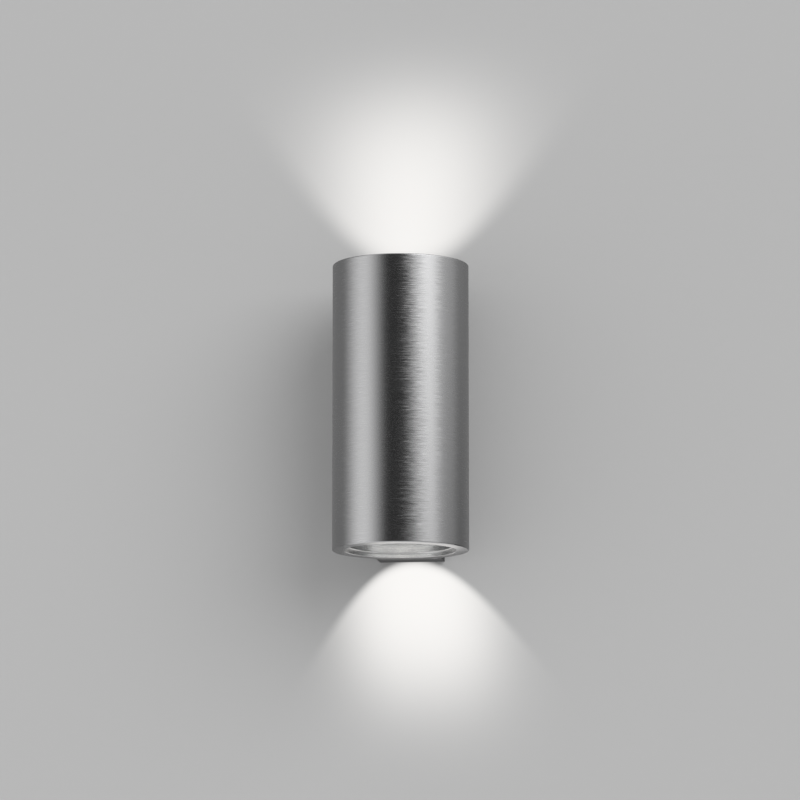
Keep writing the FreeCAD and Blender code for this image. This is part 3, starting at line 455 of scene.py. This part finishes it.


# The rings' fronts carry a painted sheen: their cut colour 0.94 goes over to 0.40 at the sides.
turned_aluminium = round_brushed(
    "turned_aluminium", light=(0.74, 0.74, 0.74), streak=0.22, rough=0.24, pitch=3400, tilt=0.12,
    cut=(0.94, 0.94, 0.94), cut_rough=0.5, painted_sheen_sides=(0.40, 0.40, 0.40))
for end, way in (("upper", 1), ("lower", -1)):
    ring_profile = [
        (RING_IN_R, way * (HALF - RING_BACK)),
        (RING_OUT_R, way * (HALF - RING_BACK)),
        (RING_OUT_R, way * (HALF - RING_FRONT)),
        (RING_IN_R + RING_BREAK, way * (HALF - RING_FRONT)),
        (RING_IN_R, way * (HALF - RING_FRONT - RING_BREAK)),
    ]
    ring = add_mesh(f"{end}_ring", lathe(rounded(ring_profile, 0.0001, 3)), turned_aluminium)
    front = way * (HALF - RING_FRONT + SLOT_DEPTH)
    back = way * (HALF - RING_FRONT - SLOT_DEPTH)
    low_z, high_z = sorted((front, back))
    low_y, high_y = TUBE_Y - SLOT_WIDTH / 2, TUBE_Y + SLOT_WIDTH / 2
    slots = []
    for side in (-1, 1):
        low_x, high_x = sorted((side * (RING_IN_R - SLOT_WIDTH), side * (RING_OUT_R + SLOT_WIDTH)))
        slots.append(((low_x, low_y, low_z), (high_x, high_y, high_z)))
    cut_boxes(ring, slots)
    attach(ring, f"{end}_ring")
    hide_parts(f"{end}_retaining_ring")

# ------------------------------------------------------------------------- lenses and gaskets
# A clear 3 mm glass disc with ground edges closes each mouth. It lies on a flat silicone ring, and
# both come out with the retaining ring. The glass has a faint glow of its own, painted light for the lit
# LED.
LENS_R = 0.0282
GASKET_FRONT = 0.0111
GASKET_IN_R = 0.0242
AXIS_R = 0.00001


def lens_glass():
    material, paint = finish("lens_glass")
    haze = paint.noise(160, 4)
    return coat(
        material, paint, IOR=1.47, Transmission_Weight=1.0,
        Base_Color=(0.97, 0.985, 0.98),
        Roughness=haze.ease(0.45, 0.8) * 0.05,
        # Painted light: a faint glow in the glass itself, standing in for the LED behind it.
        Emission_Color=paint.blend(haze, (0.9, 0.93, 1.0), (1.0, 1.0, 1.0)),
        Emission_Strength=0.05)


def pale_silicone():
    material, paint = finish("pale_silicone")
    cloud = paint.noise(400, 4)
    return coat(
        material, paint, Subsurface_Weight=0.2, Subsurface_Radius=(0.002, 0.0018, 0.0016),
        Subsurface_Scale=0.3,
        Base_Color=paint.blend(cloud, (0.66, 0.66, 0.64), (0.80, 0.80, 0.78)),
        Roughness=cloud * 0.2 + 0.4,
        Normal=paint.bump(cloud, 0.00002))


lens_material = lens_glass()
silicone = pale_silicone()
for end, way in (("upper", 1), ("lower", -1)):
    front = way * (HALF - RING_BACK)
    back = way * (HALF - GASKET_FRONT)
    disc = [(AXIS_R, back), (LENS_R, back), (LENS_R, front), (AXIS_R, front)]
    lens = add_mesh(f"{end}_glass", lathe(rounded(disc, 0.0003, 3), 192), lens_material)
    lens.visible_shadow = False
    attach(lens, f"{end}_lens_cap")
    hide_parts(f"{end}_lens")
    seat = way * (HALF - SHOULDER)
    band = [(GASKET_IN_R, seat), (LENS_R, seat), (LENS_R, back), (GASKET_IN_R, back)]
    gasket = add_mesh(f"{end}_gasket", lathe(rounded(band, 0.0004, 4), 192), silicone)
    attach(gasket, f"{end}_lens_cap")
    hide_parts(f"{end}_lens_gasket")

# ---------------------------------------------------------------------------------- reflectors
# Bowls spun from 0.8 mm bright aluminium. The inside is a parabola; its flange lies under the
# gasket and its throat stands on the LED holder.
THROAT_R = 0.008
BOWL_R = 0.0252
FLANGE_R = 0.0268
SHEET = 0.0008
BOWL_DEPTH = 0.016
BOWL_STEPS = 32


def bright_spun():
    material, paint = finish("bright_spun")
    rings = paint.noise((60, 60, 2600), 2)
    haze = paint.noise(120, 4)
    return coat(
        material, paint, Metallic=1.0, Anisotropic=0.4,
        Base_Color=paint.blend(haze, (0.82, 0.82, 0.82), (0.90, 0.90, 0.90)),
        Roughness=haze * 0.08 + rings * 0.06 + 0.04,
        Normal=paint.bump(rings, 0.000006))


bright_aluminium = bright_spun()
for end, way in (("upper", 1), ("lower", -1)):
    floor_z = HALF - SHOULDER - BOWL_DEPTH
    inside = []
    for step in range(BOWL_STEPS + 1):
        radius = THROAT_R + (BOWL_R - THROAT_R) * step / BOWL_STEPS
        share = (radius ** 2 - THROAT_R ** 2) / (BOWL_R ** 2 - THROAT_R ** 2)
        inside.append((radius, floor_z + BOWL_DEPTH * share))
    outside = [(radius + SHEET, z) for radius, z in reversed(inside[:-2])]
    flange = [(FLANGE_R, HALF - SHOULDER), (FLANGE_R, HALF - SHOULDER - SHEET),
              (BOWL_R + SHEET, HALF - SHOULDER - SHEET)]
    bowl_profile = [(radius, way * z) for radius, z in inside + flange + outside]
    bowl = add_mesh(f"{end}_bowl", lathe(bowl_profile, 192), bright_aluminium)
    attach(bowl, "lamp")
    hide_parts(f"{end}_reflector")

# ------------------------------------------------------------------- LEDs and their holders
# At each end a round moulded holder clamps a small white circuit board, on a soft heat pad, to the
# heat sink. On the board is a round LED under yellow silicone, which is lit.
CHIP_R = 0.0055
CHIP_FRONT = 0.0308
CHIP_BACK = 0.0313
CHIP_WALL = 0.0003
CHIP_DOME = 0.0002
CHIP_STEPS = 8


def moulded_plastic(name, dark, light, grain, rough, relief=0.00002):
    material, paint = finish(name)
    skin = paint.noise(grain, 3)
    flow = paint.noise(70, 3)
    return coat(
        material, paint,
        Base_Color=paint.blend(skin * 0.4 + flow * 0.6, dark, light),
        Roughness=skin * 0.15 + rough,
        Normal=paint.bump(skin, relief))


def lit_phosphor():
    material, paint = finish("lit_phosphor")
    grain = paint.noise(5000, 3)
    dots = paint.node("TexVoronoi", {}, {"Vector": paint.place(), "Scale": 900}, "Distance")
    warm = paint.blend(dots.ease(0.1, 0.5), (1.0, 0.97, 0.88), (1.0, 0.86, 0.55))
    return coat(
        material, paint, Emission_Strength=2.2,
        Base_Color=paint.blend(grain, (0.90, 0.74, 0.28), (0.96, 0.84, 0.42)),
        Roughness=grain * 0.2 + 0.3,
        Emission_Color=warm)


phosphor = lit_phosphor()
white_plastic = moulded_plastic("white_plastic", (0.76, 0.76, 0.74), (0.85, 0.85, 0.83), 3800, 0.42)
heat_pad = moulded_plastic("heat_pad", (0.38, 0.40, 0.43), (0.50, 0.52, 0.55), 2600, 0.7, 0.00004)
white_mask = moulded_plastic("white_mask", (0.80, 0.80, 0.78), (0.88, 0.88, 0.86), 1800, 0.25)
for end, way in (("upper", 1), ("lower", -1)):
    dress([f"{end}_led_holder"], white_plastic, edge=0.0002)
    dress([f"{end}_thermal_pad"], heat_pad, edge=0)
    dress([f"{end}_led_board"], white_mask, edge=0.00008)
    dress([f"{end}_holder_screws"], screw_steel, edge=0.0001)
    dome = [(AXIS_R, way * (HALF - CHIP_BACK)), (CHIP_R, way * (HALF - CHIP_BACK))]
    for step in range(CHIP_STEPS + 1):
        radius = CHIP_R * (1 - step / CHIP_STEPS) + AXIS_R
        rise = (1 - (radius / CHIP_R) ** 4) * CHIP_DOME + CHIP_WALL
        dome.append((radius, way * (HALF - CHIP_BACK + min(rise, CHIP_BACK - CHIP_FRONT))))
    chip = add_mesh(f"{end}_chip", lathe(dome, 96), phosphor, math.radians(50))
    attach(chip, "lamp")
    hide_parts(f"{end}_led_chip")

# ----------------------------------------------------------------------------------- heat sinks
# A turned aluminium blank behind each LED, with straight fins milled across its back, left as
# milled. A screw through box and tube holds each of them.


def milled_aluminium():
    material, paint = finish("milled_aluminium")
    swirl = paint.node("TexWave", {"wave_type": "RINGS", "rings_direction": "Z"},
                       {"Vector": paint.place(), "Scale": 420, "Distortion": 1.5, "Detail": 2})
    cloud = paint.noise(130, 4)
    return coat(
        material, paint, Metallic=1.0,
        Base_Color=paint.blend(swirl * 0.35 + cloud * 0.65, (0.48, 0.48, 0.49), (0.66, 0.66, 0.67)),
        Roughness=swirl * 0.08 + cloud * 0.12 + 0.26,
        Normal=paint.bump(swirl, 0.00001))


dress(["upper_heat_sink", "lower_heat_sink"], milled_aluminium(), edge=0.0001)
dress(["heat_sink_screws", "box_screws"], screw_steel, edge=0.00015)

# --------------------------------------------------------------------------------------- driver
# The LED driver: a green circuit board between two half shells of dark moulded plastic, with a
# transformer, two capacitors and three small connectors. Two screws hold it to the box.


def solder_mask():
    material, paint = finish("solder_mask")
    tracks = paint.node("TexBrick", {"offset": 0.37, "squash": 0.6},
                        {"Vector": paint.place(), "Scale": 220, "Mortar Size": 0.03}, "Fac")
    cloud = paint.noise(500, 3)
    return coat(
        material, paint, Coat_Weight=0.3,
        Base_Color=paint.blend(tracks * 0.7 + cloud * 0.3, (0.02, 0.15, 0.055), (0.05, 0.28, 0.11)),
        Roughness=cloud * 0.1 + 0.25,
        Normal=paint.bump(tracks, 0.00003))


shell_plastic = moulded_plastic("shell_plastic", (0.075, 0.075, 0.08), (0.13, 0.13, 0.14), 3000, 0.45)
ferrite = moulded_plastic("ferrite", (0.045, 0.045, 0.05), (0.085, 0.085, 0.09), 2200, 0.55, 0.00005)
sleeve = moulded_plastic("sleeve", (0.035, 0.045, 0.10), (0.07, 0.08, 0.15), 1500, 0.22)
pale_moulding = moulded_plastic("pale_moulding", (0.62, 0.62, 0.60), (0.74, 0.74, 0.72), 3200, 0.4)
dress(["driver_case", "driver_cover"], shell_plastic, edge=0.0002)
dress(["driver_board"], solder_mask(), edge=0)
dress(["driver_transformer"], ferrite, edge=0.0003)
dress(["driver_capacitors"], sleeve, edge=0.0004)
dress(["driver_input_block", "driver_upper_block", "driver_lower_block"], pale_moulding, edge=0.0002)
dress(["driver_screws"], screw_steel, edge=0.00012)

# ------------------------------------------------------------------- terminal block and earth
# A three-pole moulded block on the box's web takes the house cable. Brass screws clamp the wires.
# A tinned tag under its own screw earths the box.


def plain_brass():
    material, paint = finish("plain_brass")
    cloud = paint.noise(900, 4)
    marks = paint.noise((3800, 3800, 1500), 2)
    return coat(
        material, paint, Metallic=1.0,
        Base_Color=paint.blend(cloud, (0.60, 0.44, 0.20), (0.80, 0.64, 0.34)),
        Roughness=cloud * 0.2 + 0.22,
        Normal=paint.bump(marks, 0.00001))


dress(["terminal_block"], pale_moulding, edge=0.0002)
dress(["terminal_screws"], plain_brass(), edge=0.0001)
dress(["block_screws", "earth_screw"], screw_steel, edge=0.00012)
tinned_copper = plated_steel("tinned_copper", (0.62, 0.60, 0.57), (0.80, 0.78, 0.75), 0.25)
dress(["earth_tag"], tinned_copper, edge=0.0001)

# ---------------------------------------------------------------------------------------- leads
# Single wires in coloured plastic. Live, neutral and earth run from the block; a black and a red
# one go from the driver to each LED. The earth lead has a green and a yellow side.


def wire_skin(name, tone):
    material, paint = finish(name)
    skin = paint.noise(2500, 3)
    dark = tuple(0.8 * part for part in tone)
    light = tuple(min(1.0, 1.15 * part + 0.004) for part in tone)
    return coat(
        material, paint,
        Base_Color=paint.blend(skin, dark, light),
        Roughness=skin * 0.12 + 0.3,
        Normal=paint.bump(skin, 0.00001))


def striped_skin():
    material, paint = finish("striped_skin")
    skin = paint.noise(2500, 3)
    stripe = paint.along("X").ease(-0.0001, 0.0001)
    return coat(
        material, paint,
        Base_Color=paint.blend(stripe, (0.04, 0.36, 0.06), (0.80, 0.68, 0.04)),
        Roughness=skin * 0.12 + 0.3,
        Normal=paint.bump(skin, 0.00001))


dress(["live_lead"], wire_skin("brown_skin", (0.23, 0.10, 0.05)), edge=0)
dress(["neutral_lead"], wire_skin("blue_skin", (0.05, 0.16, 0.50)), edge=0)
dress(["earth_lead"], striped_skin(), edge=0)
dress(["upper_red_lead", "lower_red_lead"], wire_skin("red_skin", (0.60, 0.04, 0.03)), edge=0)
dress(["upper_black_lead", "lower_black_lead"], wire_skin("black_skin", (0.02, 0.02, 0.02)), edge=0)

# ------------------------------------------------------------------------- light in the mouths
# What the LED, its bowl and the lens send out of each mouth. It lights the ring and the wall of
# the mouth; the pool of its light on the wall of the room is painted light, put on that wall below.
MOUTH_GLOW = 0.0019
GLOW_R = 0.0165
for end, way in (("upper", 1), ("lower", -1)):
    glow = bpy.data.lights.new(f"{end}_glow", "AREA")
    glow.shape = "DISK"
    glow.size = 2 * GLOW_R
    glow.energy = MOUTH_GLOW
    glow.color = (1.0, 0.98, 0.95)
    lamp = bpy.data.objects.new(f"{end}_glow", glow)
    bpy.context.scene.collection.objects.link(lamp)
    lamp.location = (0, TUBE_Y, way * (HALF - RING_BACK + 0.0003))
    lamp.rotation_euler = (0 if way < 0 else math.pi, 0, 0)
    lamp.visible_camera = False
    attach(lamp, "lamp")

# --------------------------------------------------------------------------- the wall behind it
# A plain painted wall, no part of the lamp. A pool of painted light, standing in for the lamp's, lies
# on it above and below; the lamp doesn't cast it. The wall shows from the room only, so that the
# lamp's back can be seen too, and the metal mirrors its two painted pools alone, not the strip beside
# the rims.


def pool(paint, way, source, edge, soft, light, reach, fade, width, spread, shape, lean, shift):
    """How much painted light of one mouth the wall shows, in place of a pool the lamp would cast.

    The source lies that deep in the tube and throws a cone, whose edge has a slant and a softness.
    The light fades with the height over reach, and sideways over width, which spreads with the
    height; fade and shape are the powers of the two. The pool may lean and be shifted sideways.
    """
    height = paint.along("Z") * way - HALF
    side = paint.along("X") - shift - height * lean
    away = (side * side + TUBE_Y * TUBE_Y).power(0.5)
    slant = away / (height + source).at_least(0.001)
    outward = height.at_least(0.0) / reach
    sideways = side.maths("ABSOLUTE", side) / (height * spread + width).at_least(0.001)
    drop = outward.power(fade) + sideways.power(shape)
    return slant.ease(edge + soft, edge - soft) * (drop * -1).exp() * light


def painted_wall():
    material, paint = finish("painted_wall")
    nap = paint.noise(260, 4)
    broad = paint.noise(3, 2)
    upper = pool(
        paint, way=1, source=0.068, edge=0.628, soft=0.071, light=2.02, reach=0.091, fade=3.6,
        width=0.0292, spread=0.19, shape=1.9, lean=0.026, shift=-0.0022)
    lower = pool(
        paint, way=-1, source=0.0907, edge=0.546, soft=0.023, light=2.94, reach=0.057, fade=2.4,
        width=0.031, spread=0.097, shape=2.36, lean=0.108, shift=0.0009)
    # Painted light: where the pools lie, the wall's colour goes over to black and their light is
    # emitted.
    lit = 1 - ((upper + lower) * -1).exp()
    grey = paint.blend(nap * 0.3 + broad * 0.7, (0.463, 0.463, 0.463), (0.473, 0.473, 0.473))
    coat(
        material, paint, Specular_IOR_Level=0.0,
        Base_Color=paint.blend(lit, grey, (0.0, 0.0, 0.0)),
        Roughness=nap * 0.1 + 0.85,
        Normal=paint.bump(nap, 0.00002),
        Emission_Color=paint.blend(lit, (0.0, 0.0, 0.0), (1.0, 0.985, 0.965)),
        Emission_Strength=1.0)
    behind = paint.node("NewGeometry", {}, {}, "Backfacing")
    clear = paint.node("BsdfTransparent", {}, {})
    painted = Link(paint, material.node_tree.nodes["Principled BSDF"].outputs[0])
    return show(material, paint.node("MixShader", {}, {0: behind, 1: painted, 2: clear}))


def show(material, shader):
    """Gives the material's surface a shader other than its own."""
    tree = material.node_tree
    tree.links.new(shader.socket, tree.nodes["Material Output"].inputs["Surface"])
    return material


def add_stage(name, rows, material, hidden):
    """Sheets of the room between rows of corners; the hidden kinds of rays pass through them."""
    shape = bmesh.new()
    made = [[shape.verts.new(corner) for corner in row] for row in rows]
    for low, high in zip(made, made[1:]):
        for i in range(len(low) - 1):
            shape.faces.new((low[i], low[i + 1], high[i + 1], high[i]))
    mesh = bpy.data.meshes.new(name)
    shape.to_mesh(mesh)
    shape.free()
    mesh.materials.append(material)
    sheet = bpy.data.objects.new(name, mesh)
    bpy.context.scene.collection.objects.link(sheet)
    for ray in hidden:
        setattr(sheet, f"visible_{ray}", False)


WALL_Y = 0.0002
NEAR = 0.036
POOL = 0.25
RIM_SHADE = HALF + 0.006
FAR = 3.0
OPEN_TO_LIGHT = ("diffuse", "transmission", "volume_scatter", "shadow")
wall_paint = painted_wall()
wall_parts = (
    ("wall_left", (-FAR, -NEAR, -FAR, FAR)), ("wall_right", (NEAR, FAR, -FAR, FAR)),
    ("wall_below", (-NEAR, NEAR, -FAR, -POOL)), ("wall_above", (-NEAR, NEAR, POOL, FAR)),
    ("wall_behind", (-NEAR, NEAR, -RIM_SHADE, RIM_SHADE)),
    ("lower_painted_pool", (-NEAR, NEAR, -POOL, -RIM_SHADE)), ("upper_painted_pool", (-NEAR, NEAR, RIM_SHADE, POOL)))
for name, (left, right, low, high) in wall_parts:
    rows = [[(left, WALL_Y, z), (right, WALL_Y, z)] for z in (low, high)]
    hidden = OPEN_TO_LIGHT if name.endswith("pool") else OPEN_TO_LIGHT + ("glossy",)
    add_stage(name, rows, wall_paint, hidden)


def pale_floor():
    material, paint = finish("pale_floor")
    broad = paint.noise(2, 3)
    return coat(
        material, paint, Specular_IOR_Level=0.1,
        Base_Color=paint.blend(broad, (0.73, 0.73, 0.73), (0.77, 0.77, 0.77)),
        Roughness=broad * 0.1 + 0.8)


FLOOR_Z = -1.5
BEYOND_Z = FLOOR_Z - 0.002
FARTHER = 30.0
floor_paint = pale_floor()
floors = (("floor", FAR, FLOOR_Z, ()), ("floor_beyond", FARTHER, BEYOND_Z, OPEN_TO_LIGHT + ("glossy",)))
for name, reach, z, hidden in floors:
    rows = [[(-reach, y, z), (reach, y, z)] for y in (-reach, reach)]
    add_stage(name, rows, floor_paint, hidden)

# ------------------------------------------------------------------------------ the soft screens
# A round grey screen about the lamp, which only its bare metal mirrors. Two broad parts of it are
# lit, left and right of a dark middle where the camera looks through; the right one more so above.
SCREEN_R = 0.9
SCREEN_LOW = -0.8
SCREEN_HIGH = 1.4
SCREEN_STEPS = 128
MIRRORED_Z = 0.136
AZIMUTH = math.radians(7)


def lit_screen():
    material, paint = finish("lit_screen")
    x = paint.along("X")
    y = paint.along("Y") - TUBE_Y
    z = paint.along("Z") - MIRRORED_Z
    turn = x.maths("ARCTAN2", x, y * -1) * (180 / math.pi) - math.degrees(AZIMUTH)
    middle = turn.ease(-60, -24) * turn.ease(40, 0)
    left = turn.ease(-114, -66) * turn.ease(-18, -64) * 0.63 * (1 - z * 0.3).at_least(0.2)
    right = (turn + z * 30 - 4.8).ease(-2, 46) * turn.ease(88, 48) * 0.81
    far_right = turn.ease(66, 86) * turn.ease(118, 88) * 0.18
    upward = turn.ease(0, 40) * turn.ease(150, 120) * (z * 2.2).at_least(-0.8)
    light = (0.20 - middle * 0.17 + (right + far_right)) * (upward + 1) + left
    return show(material, paint.node("Emission", {}, {"Color": light, "Strength": 1.0}))


turns = [2 * math.pi * i / SCREEN_STEPS for i in range(SCREEN_STEPS + 1)]
screen_rows = [
    [(SCREEN_R * math.sin(turn), TUBE_Y - SCREEN_R * math.cos(turn), z) for turn in turns]
    for z in (SCREEN_LOW, SCREEN_HIGH)]
add_stage("soft_screen", screen_rows, lit_screen(), OPEN_TO_LIGHT + ("camera",))

# ------------------------------------------------------------------------------------ the light
# Even light from all round, a little stronger from the left and above, and one broad soft lamp to
# the upper right, which draws the lamp's shadow on the wall to the lower left. The room is grey.
EVEN = 0.65
FROM_ABOVE = 0.12
FROM_WEST = 0.4
BACKDROP = 0.468
world = bpy.data.worlds.new("room")
bpy.context.scene.world = world
world.use_nodes = True
room = Paint(world.node_tree)
heading = room.node("TexCoord", {}, {}, "Generated")
height = room.node("SeparateXYZ", {}, {"Vector": heading}, "Z")
east = room.node("SeparateXYZ", {}, {"Vector": heading}, "X")
shown = room.node("LightPath", {}, {}, "Is Camera Ray") + room.node("LightPath", {}, {}, "Is Glossy Ray")
shown = (shown + room.node("LightPath", {}, {}, "Is Transmission Ray")).ease(0, 1)
light = shown * BACKDROP + (1 - shown) * (height * FROM_ABOVE - east * FROM_WEST + 1) * EVEN
back = world.node_tree.nodes["Background"]
room.tree.links.new(light.socket, back.inputs["Color"])
back.inputs["Strength"].default_value = 1.0
world.cycles.sampling_method = "NONE"

KEY_TURN = math.radians(42)
KEY_RISE = math.radians(25)
KEY_BREADTH = math.radians(48)
KEY_POWER = 1.62
key_data = bpy.data.lights.new("key", "SUN")
key_data.angle = KEY_BREADTH
key_data.energy = KEY_POWER
key = bpy.data.objects.new("key", key_data)
bpy.context.scene.collection.objects.link(key)
level = math.cos(KEY_RISE)
key_way = Vector((math.sin(KEY_TURN) * level, -math.cos(KEY_TURN) * level, math.sin(KEY_RISE)))
key.location = key_way
key.rotation_euler = key_way.to_track_quat("Z", "Y").to_euler()
key.visible_glossy = False
key.visible_camera = False

# ---------------------------------------------------------------------------------- the camera
# It stands a little to the right of the lamp and below it, and looks up.
DISTANCE = 2.310
EYE_Z = -0.3747
LOOK_UP = math.radians(9.31)
LENS = 205.3
SHIFT = -0.00075
camera_data = bpy.data.cameras.new("camera")
camera_data.lens = LENS
camera_data.shift_x = SHIFT
camera_data.clip_start = 0.05
camera_data.clip_end = 50
camera = bpy.data.objects.new("camera", camera_data)
bpy.context.scene.collection.objects.link(camera)
camera.location = (DISTANCE * math.sin(AZIMUTH), TUBE_Y - DISTANCE * math.cos(AZIMUTH), EYE_Z)
camera.rotation_euler = (math.pi / 2 + LOOK_UP, 0, AZIMUTH)
bpy.context.scene.camera = camera
bpy.context.scene.view_settings.view_transform = "Standard"
